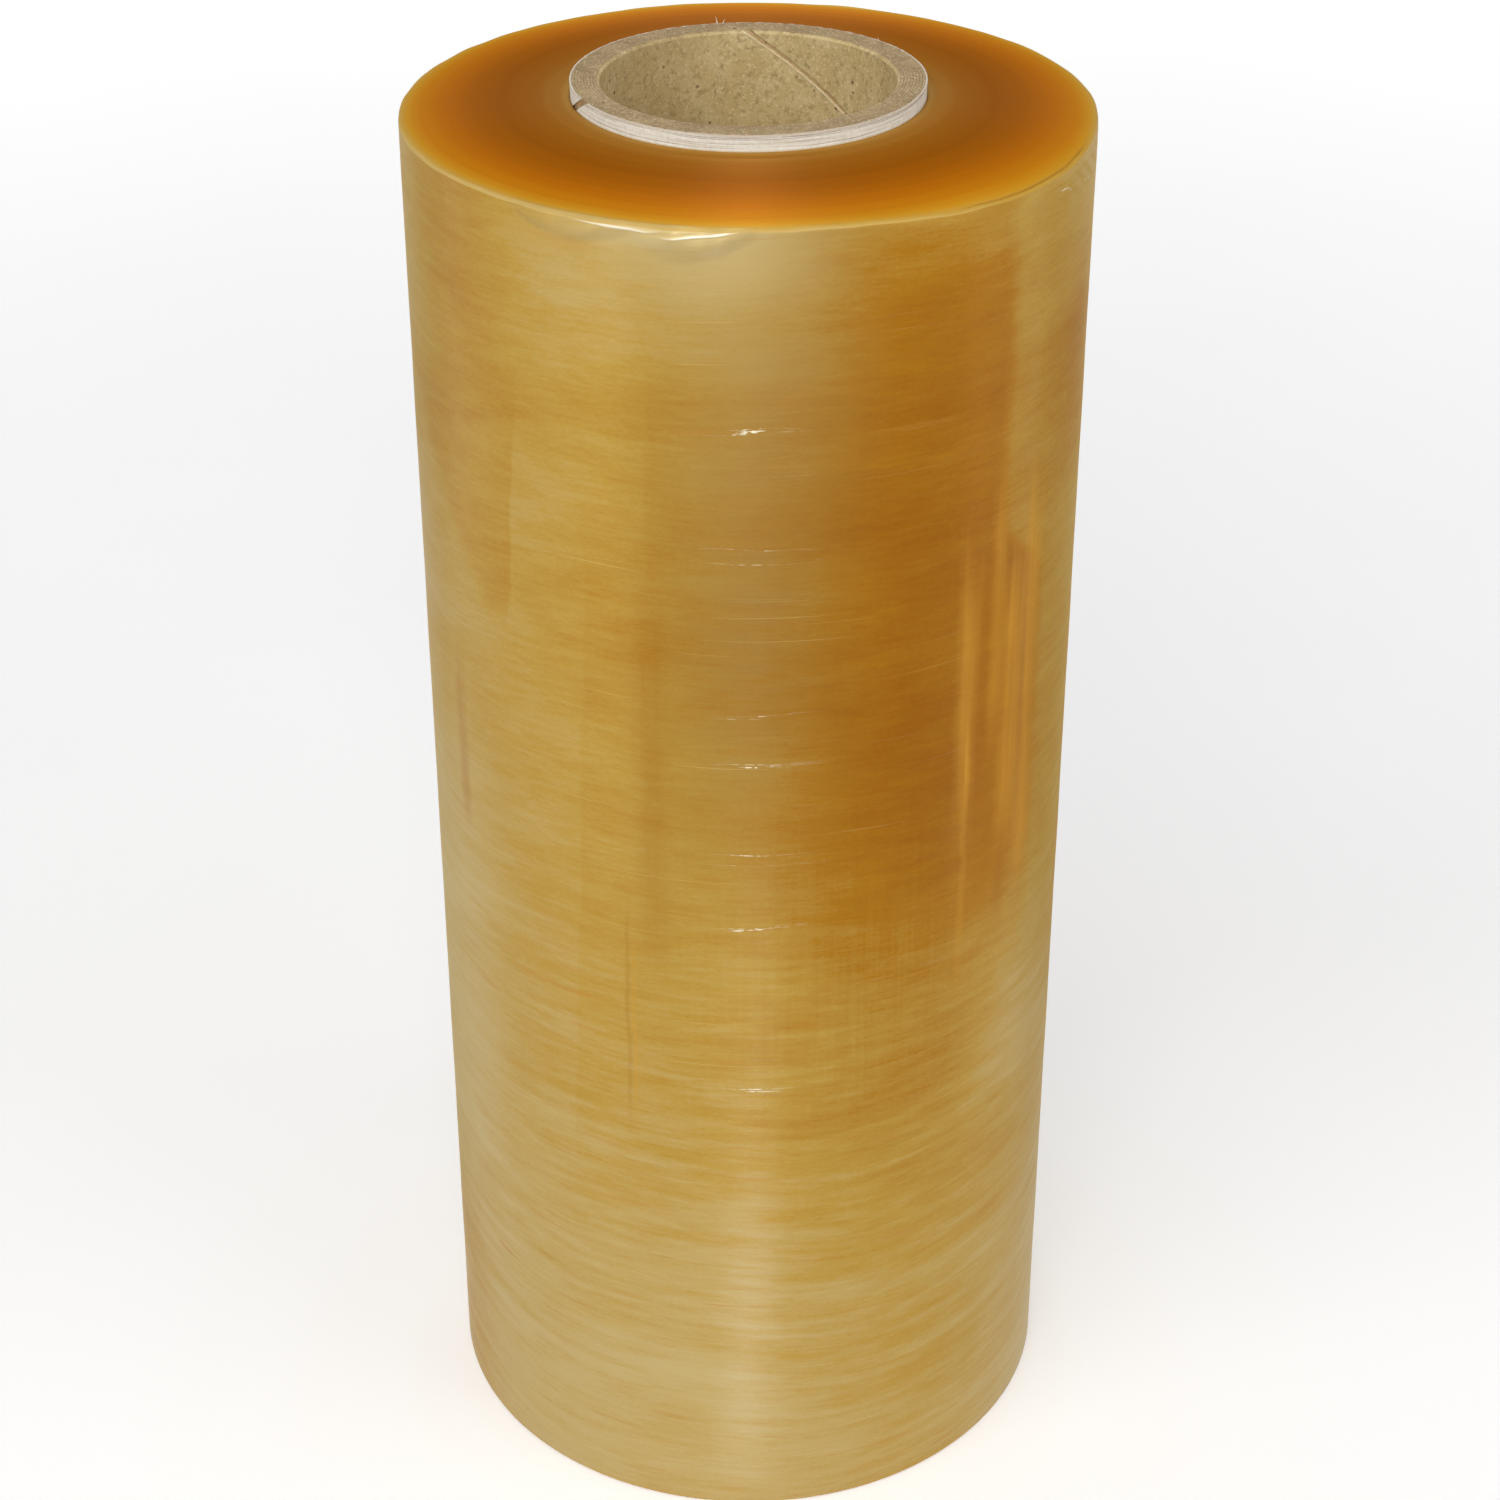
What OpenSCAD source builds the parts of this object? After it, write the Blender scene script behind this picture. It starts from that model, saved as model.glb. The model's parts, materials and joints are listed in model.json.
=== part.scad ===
// Roll of cling film for a kitchen or packing counter, standing on one end.
// Thin plastic film is wound on a board core that stands a little proud of the turns.
// The origin is the centre of the face that the roll stands on, and +Z runs up its axis.

/* [Film] */
// Width of the film, which is the height of its turns
film_width = 400; // [200:5:600]
// Length of the film wound on the core, in metres
film_length_m = 1500; // [600:50:2000]
// Thickness of the film, in micrometres
film_gauge_um = 12.5; // [8:0.5:20]
// How much higher the innermost turns sit than the outermost, from drift in winding
turn_drift = 3.2; // [0.4:0.1:8]
// Air that the first turn traps between itself and the core
first_turn_air = 0.15; // [0.05:0.05:0.5]
// Radius of the outermost turns' soft edge at each end
rim_radius = 1.2; // [0.4:0.1:2.5]
// Width of the level ring of outer turns that the roll stands on
level_ring = 3; // [1:0.5:6]

/* [Turns seen on the ends] */
// Number of bands that the turns form on each end
band_count = 14; // [6:1:20]
// Height of the ridge that each band of turns makes
band_ridge = 0.35; // [0.1:0.05:0.8]
// How unevenly wide the bands are, as a share of their mean width
band_spread = 0.3; // [0:0.05:0.4]

/* [Core] */
// Bore of the core, which a dispenser's spindle passes through
core_bore = 76.5; // [50:0.5:110]
// Thickness of the board
board_wall = 7.2; // [3:0.1:12]
// Thickness of the white paper ply around the board
facing_wall = 0.4; // [0.2:0.05:1]
// How far the core stands out of the innermost turns at the top
core_proud = 4.3; // [1:0.1:12]
// Bevel that the knife leaves on the inner edge at each end
end_bevel = 0.8; // [0.2:0.1:1.5]

/* [Spiral plies] */
// Width of the strips that the core is wound from
strip_width = 134; // [60:1:150]
// Width of the butt seam between the edges of the innermost strip
seam_width = 1.2; // [0.8:0.1:5]
// Depth of that seam in the wall of the bore
seam_depth = 0.45; // [0.2:0.05:1]
// Width of the gap between the edges of the white strip
gap_width = 1.8; // [0.6:0.2:4]
// How far that gap runs on under the film before the turns press the strip shut
gap_under = 2; // [0.5:0.5:6]
// Direction in which the bore's seam meets the top end, in degrees from +X
seam_at_top = 91; // [-180:1:180]
// Direction in which the white strip's gap meets the top end, in degrees from +X
gap_at_top = -154; // [-180:1:180]

/* [Hidden] */

board_colour = [0.60, 0.50, 0.38];
paper_colour = [0.88, 0.84, 0.78];
film_colour = [0.76, 0.58, 0.28];

bore_r = core_bore / 2;
board_r = bore_r + board_wall;
core_r = board_r + facing_wall;
core_length = film_width + turn_drift + core_proud;

// Turns of thin film fill a ring whose area is the film's length times its thickness
film_section = film_length_m * 1000 * film_gauge_um / 1000;
first_turn_r = core_r + first_turn_air;
film_r = sqrt(film_section / PI + first_turn_r * first_turn_r);
ring_r = film_r - rim_radius - level_ring;
band_pitch = (ring_r - first_turn_r) / band_count;

// A strip of this width closes edge to edge when it climbs by one lead in a turn
function lead(r) = strip_width / sqrt(1 - pow(strip_width / (2 * PI * r), 2));
// Height along the axis of a gap that measures w square across the strip
function gap_height(r, w) = w * lead(r) / strip_width;

// Sides of a round, degrees between the rings of the seam, and steps in the soft edge
SIDES = 96;
SPIRAL_STEP = 10;
RIM_STEPS = 4;
// How far a cutting shape reaches past what it cuts
CUT = 2;
// How much the turns' lift bends over towards the outside: 1 is a straight cone
DRIFT_CURVE = 1.7;
// Where a band's ridge lies across its width, and how much ridges differ in height
RIDGE_PLACE = 0.6;
RIDGE_SPREAD = 0.35;
// Turn of the waves that vary the bands' widths and heights, in degrees a band
WIDTH_WAVE = 137;
HEIGHT_WAVE = 83;

// Inner radius of band i, whose widths vary by a slow wave that repeats nowhere
function band_r(i) = i <= 0 ? first_turn_r
    : i >= band_count ? ring_r
    : first_turn_r + band_pitch * (i + band_spread * sin(WIDTH_WAVE * i));

// Lift of the turns at radius r: highest at the core, level where the roll stands
function drift(r) = turn_drift * (1 - pow(min(1, (r - first_turn_r) / (ring_r - first_turn_r)), DRIFT_CURVE));

// The ends of the turns, from the core outwards, as [radius, lift] pairs.
// Each band starts in a valley, swells to its ridge past the middle and falls back.
turn_ends = concat(
    [for (i = [0:band_count - 1], part = [0, 1])
        let (inner = band_r(i), outer = band_r(i + 1), r = inner + part * RIDGE_PLACE * (outer - inner))
        [r, drift(r) + part * band_ridge * (1 - RIDGE_SPREAD + RIDGE_SPREAD * sin(HEIGHT_WAVE * i))]],
    [[ring_r, 0]]);

// Quarter circle of the soft edge, from the level ring round to the side of the roll
rim = [for (k = [0:RIM_STEPS])
    let (a = 90 * k / RIM_STEPS)
    [film_r - rim_radius + rim_radius * sin(a), rim_radius * (1 - cos(a))]];

// Section of the wound film: every turn is as wide as the film, so both ends have the same lift
film_outline = concat(
    turn_ends,
    rim,
    [for (k = [RIM_STEPS:-1:0]) [rim[k][0], film_width - rim[k][1]]],
    [for (k = [len(turn_ends) - 1:-1:0]) [turn_ends[k][0], film_width + turn_ends[k][1]]]);

// Rectangle carried up a helix as deep as the seam, from below the foot of the core to above its top
module seam_cut() {
    rise = lead(bore_r);
    tall = gap_height(bore_r, seam_width);
    reach = core_length + 2 * (CUT + tall);
    rings = ceil(reach / rise * 360 / SPIRAL_STEP);
    points = [for (k = [0:rings])
        let (z = core_length + CUT + tall - rise * k * SPIRAL_STEP / 360,
            turn = seam_at_top + 360 * (z - core_length) / rise)
        each [for (c = [[bore_r - CUT, 0.5], [bore_r + seam_depth, 0.5],
                [bore_r + seam_depth, -0.5], [bore_r - CUT, -0.5]])
            [c[0] * cos(turn), c[0] * sin(turn), z + c[1] * tall]]];
    walls = [for (k = [0:rings - 1], c = [0:3])
        let (p = 4 * k + c, q = 4 * k + (c + 1) % 4)
        each [[p, q + 4, q], [p, p + 4, q + 4]]];
    head = [[0, 1, 2], [0, 2, 3]];
    foot = [for (f = head) [for (i = [2:-1:0]) 4 * rings + f[i]]];
    polyhedron(points, concat(head, walls, foot), convexity = 10);
}

// Straight slot along the slope of the white strip, where its gap shows between an end and the film
module gap_slot(end_z, proud) {
    slope = atan(lead(board_r) / (2 * PI * board_r));
    run = 2 * (proud + gap_under) / sin(slope);
    bow = pow(run / 2, 2) / (2 * board_r);
    direction = gap_at_top + 360 * (end_z - core_length) / lead(board_r);
    rotate(direction) translate([board_r, 0, end_z]) rotate([slope, 0, 0])
        cube([2 * (bow + facing_wall + CUT), run, gap_width], center = true);
}

// Board tube: square ends outside, bevelled ends inside, and a shallow spiral seam in the bore
module core_tube() {
    color(board_colour) difference() {
        rotate_extrude($fn = SIDES) polygon([
            [bore_r + end_bevel, 0],
            [board_r, 0],
            [board_r, core_length],
            [bore_r + end_bevel, core_length],
            [bore_r, core_length - end_bevel],
            [bore_r, end_bevel]]);
        seam_cut();
    }
}

// White paper strip glued round the board, with a gap between its edges at each end
module core_facing() {
    color(paper_colour) difference() {
        rotate_extrude($fn = SIDES) polygon([
            [board_r, 0],
            [core_r, 0],
            [core_r, core_length],
            [board_r, core_length]]);
        gap_slot(core_length, core_proud);
        gap_slot(0, turn_drift);
    }
}

// All the turns of film as one solid, with their bands on both ends
module film_roll() {
    color(film_colour) rotate_extrude($fn = SIDES) polygon(film_outline);
}

core_tube();
core_facing();
film_roll();
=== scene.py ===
"""Roll of cling film standing on its end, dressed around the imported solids.

The roll is made as a winder makes it: a board core wound from strips, a white paper strip on
the outside of the core, and the film wound on it. The floor and the lights come last.
All sizes are in metres, with the origin at the foot of the roll's axis and +Z up the axis.
"""
import json

import bpy
import numpy as np
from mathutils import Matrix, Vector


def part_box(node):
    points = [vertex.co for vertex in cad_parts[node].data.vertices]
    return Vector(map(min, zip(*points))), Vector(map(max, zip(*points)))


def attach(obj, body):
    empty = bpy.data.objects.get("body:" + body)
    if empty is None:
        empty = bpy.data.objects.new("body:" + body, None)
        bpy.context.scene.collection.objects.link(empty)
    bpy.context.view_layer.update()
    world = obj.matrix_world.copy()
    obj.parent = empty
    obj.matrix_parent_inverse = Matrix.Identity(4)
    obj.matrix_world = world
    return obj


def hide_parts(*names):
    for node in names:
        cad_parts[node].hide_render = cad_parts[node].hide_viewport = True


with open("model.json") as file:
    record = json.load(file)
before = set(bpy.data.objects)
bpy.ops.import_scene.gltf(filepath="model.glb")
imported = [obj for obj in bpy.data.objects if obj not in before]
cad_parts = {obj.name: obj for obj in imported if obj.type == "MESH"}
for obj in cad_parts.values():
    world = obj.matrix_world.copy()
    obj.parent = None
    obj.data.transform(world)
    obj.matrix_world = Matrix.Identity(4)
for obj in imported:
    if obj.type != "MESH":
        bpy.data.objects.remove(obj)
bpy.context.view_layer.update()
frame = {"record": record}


# Camera
# The photograph is taken from above the roll's front with a lens of about 74 mm on a full frame.
# Its place comes from the rims of the film and of the core.
CAMERA_AT = (0.0004, -0.7709, 0.6576)
CAMERA_DIP = np.radians(30.29)
CAMERA_LENS = 74.1
FULL_FRAME = 36
SEES_TO = 50


def put_in_scene(name, data):
    """A new object of that name around the data, at the origin."""
    made = bpy.data.objects.new(name, data)
    bpy.context.collection.objects.link(made)
    return made


camera = put_in_scene("camera", bpy.data.cameras.new("camera"))
camera.data.lens = CAMERA_LENS
camera.data.sensor_width = FULL_FRAME
camera.data.clip_end = SEES_TO
camera.location = CAMERA_AT
camera.rotation_euler = (np.pi / 2 - CAMERA_DIP, 0, 0)
bpy.context.scene.camera = camera


# Board core
# A tube of grey-brown recycled board, wound from glued strips in a rising spiral and cut to length
# with a knife. The cut shows the edges of the plies, and the innermost strip's butt seam
# climbs the bore as a shallow groove.
MM = 0.001
core_low, core_high = (np.array(corner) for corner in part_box("core_tube"))
BOARD_R = core_high[0]
CORE_TOP = core_high[2]
BORE_R = frame["record"]["mounts"][0]["dims"]["r_mm"] * MM
BEVEL = 0.8 * MM
STRIP_WIDTH = 134 * MM
SEAM_WIDTH = 1.2 * MM
SEAM_DEPTH = 0.45 * MM
SEAM_AT_TOP = np.radians(91)
SEAM_REACH = 2.4
PLY_COUNT = 9
KNIFE_MARK = 0.06 * MM
SEAM_LIP = 0.12 * MM
# Columns of the mesh by the seam and round the rest, and rows down the bore, across an end and up the outside
SEAM_COLUMNS, CORE_COLUMNS = 33, 400
BORE_ROWS, CUT_ROWS, WALL_ROWS = 108, 14, 28


def climb(radius):
    """Height that a strip climbs in one radian of a tube of this radius when its edges meet."""
    around = 2 * np.pi * radius
    return STRIP_WIDTH / np.sqrt(1 - (STRIP_WIDTH / around) ** 2) / (2 * np.pi)


def half_angle(width, radius):
    """Half the angle that a gap takes up round a tube when it measures width square across the strip:
    half of width / climb, over the cosine of the strip's slope."""
    return width / climb(radius) / np.cos(np.arctan(climb(radius) / radius)) / 2


def bump_shape(x, middle, half):
    """A smooth hump: 1 at the middle, falling as a squared cosine to 0 at half on either side."""
    return np.cos(np.clip((x - middle) / half, -1, 1) * np.pi / 2) ** 2


def waves(x, seed, count, lowest, highest):
    """Sum of count sine waves of x, scaled to about 1. Their whole-number frequencies and their phases are
    drawn from seed."""
    draw = np.random.default_rng(seed)
    turns = draw.integers(lowest, highest, count)[:, None]
    phase = draw.uniform(0, 2 * np.pi, count)[:, None]
    flat = np.ravel(x)[None, :]
    return (np.sin(turns * flat + phase).sum(axis=0) / np.sqrt(count)).reshape(np.shape(x))


def lay_grid(name, points, around=True, slots=None):
    """Mesh of a grid of points, shape (rows, columns, 3). Its rows go round a closed section, and each face
    joins four neighbours and takes its row's slot. The columns close into a ring if around. If not, the
    section at each end is capped, by joining row i with row i from the end."""
    rows, columns = points.shape[:2]
    i, j = np.meshgrid(np.arange(rows), np.arange(columns if around else columns - 1), indexing="ij")
    i1, j1 = (i + 1) % rows, (j + 1) % columns
    faces = np.stack([i * columns + j, i * columns + j1, i1 * columns + j1, i1 * columns + j], axis=-1)
    faces = faces.reshape(-1, 4)
    if not around:
        k = np.arange(rows // 2 - 1)
        cap = np.stack([k, k + 1, rows - 2 - k, rows - 1 - k], axis=-1) * columns
        faces = np.concatenate([faces, cap, cap[:, ::-1] + columns - 1])
    mesh = bpy.data.meshes.new(name)
    mesh.from_pydata(points.reshape(-1, 3), [], faces)
    if slots is not None:
        mesh.polygons.foreach_set("material_index", np.repeat(slots, columns).astype(np.int32))
    mesh.polygons.foreach_set("use_smooth", np.ones(len(mesh.polygons), dtype=bool))
    return put_in_scene(name, mesh)


def turn_profile(radius, height, angle):
    """Points at distance radius from the axis, in direction angle, at that height."""
    return np.stack([radius * np.cos(angle), radius * np.sin(angle), height], axis=-1)


class Mark:
    """A value or colour in a material. Operators on marks add Math nodes, or Vector Math on colours."""

    def __init__(self, paint, socket, vector=False):
        self.paint, self.socket, self.vector = paint, socket, vector

    def _join(self, operation, *given):
        vector = any(isinstance(part, Mark) and part.vector for part in given)
        kind = "ShaderNodeVectorMath" if vector else "ShaderNodeMath"
        return self.paint.node(kind, {"operation": operation}, dict(enumerate(given)), vector=vector)

    def __add__(self, other):
        return self._join("ADD", self, other)

    def __radd__(self, other):
        return self._join("ADD", other, self)

    def __sub__(self, other):
        return self._join("SUBTRACT", self, other)

    def __rsub__(self, other):
        return self._join("SUBTRACT", other, self)

    def __mul__(self, other):
        return self._join("MULTIPLY", self, other)

    def __rmul__(self, other):
        return self._join("MULTIPLY", other, self)

    def __truediv__(self, other):
        return self._join("DIVIDE", self, other)

    def least(self, other):
        return self._join("MINIMUM", self, other)

    def most(self, other):
        return self._join("MAXIMUM", self, other)

    def sine(self):
        return self._join("SINE", self)

    def root(self):
        return self._join("SQRT", self)

    def size(self):
        return self._join("ABSOLUTE", self)

    def angle_from(self, x):
        return self._join("ARCTAN2", self, x)

    def step(self, low, high, to_low=0.0, to_high=1.0):
        """Smooth step from to_low, where this mark is low, to to_high, where it is high."""
        return self.paint.node("ShaderNodeMapRange", {"interpolation_type": "SMOOTHSTEP"},
                               {"Value": self, "From Min": low, "From Max": high,
                                "To Min": to_low, "To Max": to_high})

    def hump(self, middle, half):
        """1 where this mark is at the middle, falling smoothly to 0 at half on either side."""
        return (self - middle).size().step(0.0, half, 1.0, 0.0)


def linear(colour):
    """An 8-bit display colour as the linear colour that the shader takes: c / 12.92 or a power of 2.4."""
    c = np.array(colour) / 255
    c = np.where(c <= 0.04045, c / 12.92, ((c + 0.055) / 1.055) ** 2.4)
    return (*c, 1.0)


class Mixing:
    """A node tree being built. node() adds any node, and the other methods are mixtures made with it."""

    def __init__(self, tree):
        self.tree = tree

    def node(self, kind, settings, values, output=0, vector=False):
        """A node of that kind, with its settings made first and then its sockets' values or links."""
        made = self.tree.nodes.new(kind)
        for key, value in settings.items():
            if key == "stops":
                self._set_stops(made.color_ramp, value)
            else:
                setattr(made, key, value)
        for key, value in values.items():
            socket = made.inputs[key]
            if isinstance(value, Mark):
                self.tree.links.new(value.socket, socket)
            elif hasattr(socket.default_value, "__len__") and not hasattr(value, "__len__"):
                socket.default_value = [value] * len(socket.default_value)
            else:
                socket.default_value = value
        return Mark(self, made.outputs[output], vector)

    @staticmethod
    def _set_stops(ramp, stops):
        while len(ramp.elements) < len(stops):
            ramp.elements.new(1.0)
        for element, (place, colour) in zip(ramp.elements, stops):
            element.position, element.color = place, colour

    def mix(self, first, second, mask):
        """The first colour where the mask is 0 and the second where it is 1."""
        return self.node("ShaderNodeMix", {"data_type": "RGBA"}, {0: mask, 6: first, 7: second},
                         output=2, vector=True)

    def ramp(self, mark, stops):
        """A colour picked along a ramp by the mark. stops are (place, colour) pairs."""
        return self.node("ShaderNodeValToRGB", {"stops": stops}, {0: mark}, vector=True)

    def point(self, x, y=0.0, z=0.0):
        """A point, or a colour, from three values."""
        return self.node("ShaderNodeCombineXYZ", {}, {0: x, 1: y, 2: z}, vector=True)

    def noise(self, place, detail=2.0, roughness=0.5, scale=1.0, warp=0.0):
        """Cloudy noise of about 0 to 1, with cells of one unit of place over scale."""
        return self.node("ShaderNodeTexNoise", {}, {"Vector": place, "Scale": scale, "Detail": detail,
                                                    "Roughness": roughness, "Distortion": warp})

    def specks(self, place, scale, size):
        """1 at the middle of scattered specks, which reach size of a cell, and 0 between them."""
        near = self.node("ShaderNodeTexVoronoi", {}, {"Vector": place, "Scale": scale})
        return near.step(size * 0.4, size, 1.0, 0.0)

    def background_rays(self):
        """1 for rays from the camera, straight or by way of gloss or a clear thing, and 0 for the
        light that falls on the object."""
        straight, gloss, clear = (self.node("ShaderNodeLightPath", {}, {}, output="Is %s Ray" % kind)
                                  for kind in ("Camera", "Glossy", "Transmission"))
        return straight.most(gloss).most(clear)


class Paint(Mixing):
    def __init__(self, name):
        self.material = bpy.data.materials.new(name)
        self.material.use_nodes = True
        super().__init__(self.material.node_tree)
        self.surface = self.tree.nodes["Principled BSDF"]
        self.place = self.node("ShaderNodeTexCoord", {}, {}, output="Object", vector=True)
        self.x, self.y, self.z = (self.node("ShaderNodeSeparateXYZ", {}, {0: self.place}, output=axis)
                                  for axis in range(3))

    def scaled(self, sx, sy, sz, lift=0.0):
        """Object coordinates stretched by a factor on each axis. lift is added to the height first."""
        return self.point(self.x * sx, self.y * sy, (self.z + lift) * sz)

    def raise_by(self, height, distance, strength=1.0):
        """Bumps of that height, in units of distance, joined to the surface's normal."""
        bump = self.node("ShaderNodeBump", {}, {"Height": height, "Distance": distance, "Strength": strength})
        self.tree.links.new(bump.socket, self.surface.inputs["Normal"])

    def finish(self, **sockets):
        """Sets the surface's sockets, given with underscores for spaces, to marks or plain values."""
        for name, value in sockets.items():
            socket = self.surface.inputs[name.replace("_", " ")]
            if isinstance(value, Mark):
                self.tree.links.new(value.socket, socket)
            else:
                socket.default_value = value
        return self.material


def board_paint():
    """Matt board: brown-grey pulp with clouds, short fibres, dark and pale specks, a paler innermost ply,
    the plies' edges on the cut ends, and along the seam a painted highlight on its raised edge and a painted
    shadow line."""
    paint = Paint("core_board")
    radius = (paint.x * paint.x + paint.y * paint.y).root()
    around = paint.y.angle_from(paint.x)
    clouds = paint.noise(paint.place, scale=120, detail=4)
    pulp = paint.noise(paint.place, scale=520, detail=3, roughness=0.6)
    grain = paint.noise(paint.place, scale=1300, detail=2)
    warped = paint.noise(paint.place, scale=420, detail=1, warp=3.0)
    inner = radius.step(BORE_R + 0.3 * MM, BORE_R + 1.2 * MM, 1.0, 0.0)
    cut_end = paint.mix(linear((164, 138, 96)), linear((190, 164, 118)), clouds.step(0.3, 0.7))
    lining = paint.mix(linear((202, 178, 124)), linear((216, 195, 144)), clouds.step(0.35, 0.7))
    ground = paint.mix(cut_end, lining, inner)
    ground = paint.mix(ground, linear((142, 114, 70)), pulp.step(0.48, 0.70) * 0.5)
    ground = paint.mix(ground, linear((244, 222, 180)), grain.step(0.52, 0.70) * 0.5)
    ground = paint.mix(ground, linear((140, 110, 74)), around.hump(2.3, 0.8) * inner * 0.28)
    fibres = warped.hump(0.5, 0.018) * paint.noise(paint.place, scale=190).step(0.52, 0.66)
    ground = paint.mix(ground, linear((116, 86, 56)), fibres * 0.55)
    dark = paint.specks(paint.place, 300, 0.21) * paint.noise(paint.place, scale=120).step(0.53, 0.60)
    ground = paint.mix(ground, linear((86, 56, 32)), dark * 0.85)
    cut_above = paint.z.step(CORE_TOP - 0.3 * MM, CORE_TOP - 0.05 * MM)
    cut = cut_above.most(paint.z.step(0.05 * MM, 0.3 * MM, 1.0, 0.0))
    ply = ((radius - BORE_R) * (2 * np.pi * PLY_COUNT / (BOARD_R - BORE_R)) + pulp * 3.0).sine()
    ground = paint.mix(ground, linear((122, 100, 66)), ply.step(0.45, 1.0) * cut * 0.5)

    past_seam = around - (paint.z - CORE_TOP) / climb(BORE_R) - SEAM_AT_TOP
    on_seam_side = (past_seam + np.pi / 2).sine().step(0.0, 0.1) * inner
    half = half_angle(SEAM_WIDTH, BORE_R)
    across_seam = past_seam.sine() + (pulp - 0.5) * (0.8 * half)
    floor_of_seam = across_seam.hump(0, 1.3 * half) * on_seam_side
    # Painted shadow along one side of the seam's groove, and a painted highlight on its raised edge on the
    # other side.
    seam_shadow_line = across_seam.hump(-0.95 * half, 0.45 * half) * on_seam_side
    seam_highlight = across_seam.hump(1.15 * half, 0.5 * half) * on_seam_side
    ground = paint.mix(ground, linear((178, 140, 100)), floor_of_seam * 0.6)
    ground = paint.mix(ground, linear((120, 88, 58)), seam_shadow_line * 0.8)
    ground = paint.mix(ground, linear((244, 226, 186)), seam_highlight * 0.95)
    paint.raise_by(pulp * 0.6 + grain * 0.3 - fibres * 0.3 - ply.step(0.4, 1.0) * cut * 0.5, 0.25 * MM, 0.6)
    return paint.finish(Base_Color=ground, Roughness=0.9, Specular_IOR_Level=0.2)


def board_core():
    """The tube's section carried round the axis on columns that lean with the spiral, so that the seam
    is a straight groove on the grid: radius + depth where a column lies within the seam's width. Off the
    bore the lean unwinds by whole turns, so that the rows meet."""
    seam_half = half_angle(SEAM_WIDTH, BORE_R)
    near_seam = SEAM_REACH * seam_half
    offsets = np.concatenate([np.linspace(-SEAM_REACH, SEAM_REACH, SEAM_COLUMNS) * seam_half,
                              np.linspace(near_seam, 2 * np.pi - near_seam, CORE_COLUMNS)[1:-1]])
    bore = np.linspace(CORE_TOP - BEVEL, core_low[2] + BEVEL, BORE_ROWS)
    across = np.linspace(BORE_R + BEVEL, BOARD_R, CUT_ROWS)
    wall = np.linspace(core_low[2], CORE_TOP, WALL_ROWS)[1:-1]
    radius = np.concatenate([np.full(len(bore), BORE_R), across, np.full(len(wall), BOARD_R), across[::-1]])
    height = np.concatenate([bore, np.full(CUT_ROWS, core_low[2]), wall, np.full(CUT_ROWS, CORE_TOP)])
    inner = np.concatenate([np.ones(len(bore)), np.zeros(2 * CUT_ROWS + len(wall))])
    lean = (height - CORE_TOP) / climb(BORE_R)
    whole_turns = np.round((core_low[2] - CORE_TOP) / climb(BORE_R) / (2 * np.pi)) * 2 * np.pi
    lean[inner == 0] -= whole_turns * (CORE_TOP - height[inner == 0]) / (CORE_TOP - core_low[2])
    turn = SEAM_AT_TOP + offsets[None, :] + lean[:, None]
    edge = np.clip((seam_half - np.abs(offsets)) / (0.12 * seam_half), 0, 1)
    lip = bump_shape(offsets, 1.15 * seam_half, 0.55 * seam_half)
    ring = radius[:, None] + inner[:, None] * (SEAM_DEPTH * edge - SEAM_LIP * lip)[None, :]
    cut = ((height == CORE_TOP) | (height == core_low[2]))[:, None]
    knife = KNIFE_MARK * waves(turn, 5, 24, 8, 90) * cut
    ring = ring + knife * 0.6
    tall = height[:, None] - np.abs(knife) * np.sign(height - CORE_TOP / 2)[:, None]
    return lay_grid("core", turn_profile(ring, tall, turn))


core = board_core()
core.data.set_sharp_from_angle(angle=np.radians(40))
core.data.materials.append(board_paint())
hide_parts("core_tube")
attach(core, "root")


# White paper strip
# The core's outermost ply is a strip of white paper, glued on in the same spiral as the board.
# Its edges don't quite meet, so a slanting gap shows the board at the left. The knife that
# cut the core to length has scored it round and left its top edge frayed.
strip_low, strip_high = (np.array(corner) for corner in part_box("core_facing"))
STRIP_R = strip_high[0]
GAP_WIDTH = 1.8 * MM
GAP_AT_TOP = np.radians(-154)
SHOWS_BELOW_TOP = 6.5 * MM
CORE_PROUD = 4.3 * MM
STRIP_COLUMNS, HIDDEN_ROWS, SHOWN_ROWS = 520, 51, 36
SCORE_DEPTH = 0.12 * MM
FRAY = 0.06 * MM
# Lines that the knife has scored: depth below the top, half width, and the seed of its wander
SCORES = ((0.8 * MM, 0.14 * MM, 3),
          (1.2 * MM, 0.12 * MM, 4),
          (2.3 * MM, 0.08 * MM, 6),
          (3.4 * MM, 0.13 * MM, 9))
# Slivers that stand on the rim: direction in degrees, then height and lean in mm
SLIVERS = ((100.5, 2.0, 0.5), (98.8, 1.1, -0.7), (41.0, 0.7, 0.9), (-52.0, 0.5, 0.6), (-118.0, 0.45, -0.5))


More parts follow.
